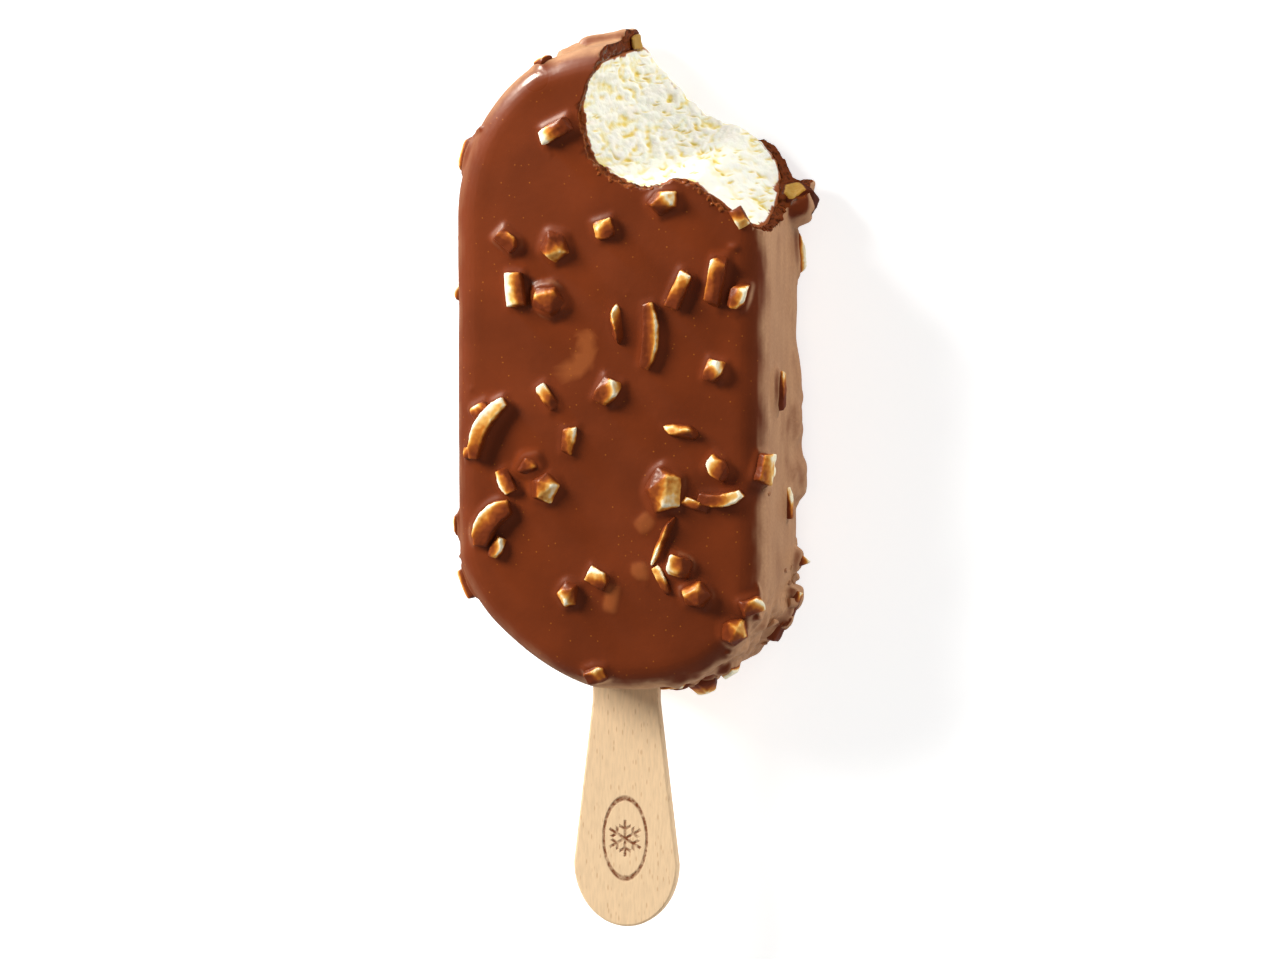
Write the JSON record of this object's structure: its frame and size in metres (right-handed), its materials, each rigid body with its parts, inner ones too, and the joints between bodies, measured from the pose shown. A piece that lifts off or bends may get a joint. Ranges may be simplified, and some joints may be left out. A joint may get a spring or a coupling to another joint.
{
  "type": "ice cream bar",
  "caption": "Chocolate-coated ice cream bar with chopped almonds on a flat wooden stick, bitten at a top corner so that its white ice cream shows.",
  "frame": {"origin": "middle of the flat back face that the bar lies on", "axes": "+X across the bar towards its bitten side, +Y along it away from the stick, +Z out of its front face"},
  "size_m": [0.0536, 0.1396, 0.0272],
  "materials": {
    "chocolate": "milk chocolate, satin, stands in as plastic",
    "ice_cream": "vanilla ice cream, porous where bitten, stands in as plastic",
    "almond": "chopped roasted almond under a thin film of chocolate, stands in as plastic",
    "wood": "plain pale beech, unvarnished"
  },
  "bodies": {
    "root": {"chocolate_coating": "chocolate", "ice_cream": "ice_cream", "stick": "wood", "almond_top_left": "almond", "almond_cube_left": "almond", "almond_plank_left": "almond", "almond_chip_left": "almond", "almond_plank_right": "almond", "almond_plank_tall": "almond", "almond_bite_edge": "almond", "almond_sliver_middle": "almond", "almond_slice_middle": "almond", "almond_hook_middle": "almond", "almond_slice_left": "almond", "almond_flake_left": "almond", "almond_chunk_sunken": "almond", "almond_chunk_left": "almond", "almond_sliver_right": "almond", "almond_slice_low": "almond", "almond_chunk_large": "almond", "almond_crescent_left": "almond", "almond_splinter_low": "almond", "almond_cube_low": "almond", "almond_chip_low": "almond", "almond_corner_low": "almond", "almond_rim_right": "almond", "almond_wall_middle": "almond", "almond_wall_high": "almond", "almond_wall_ragged": "almond", "almond_wall_spike": "almond", "almond_wall_low": "almond", "almond_base_right": "almond", "almond_rim_low_left": "almond", "almond_rim_high_left": "almond", "almond_bitten_corner": "almond"}
  },
  "joints": []
}
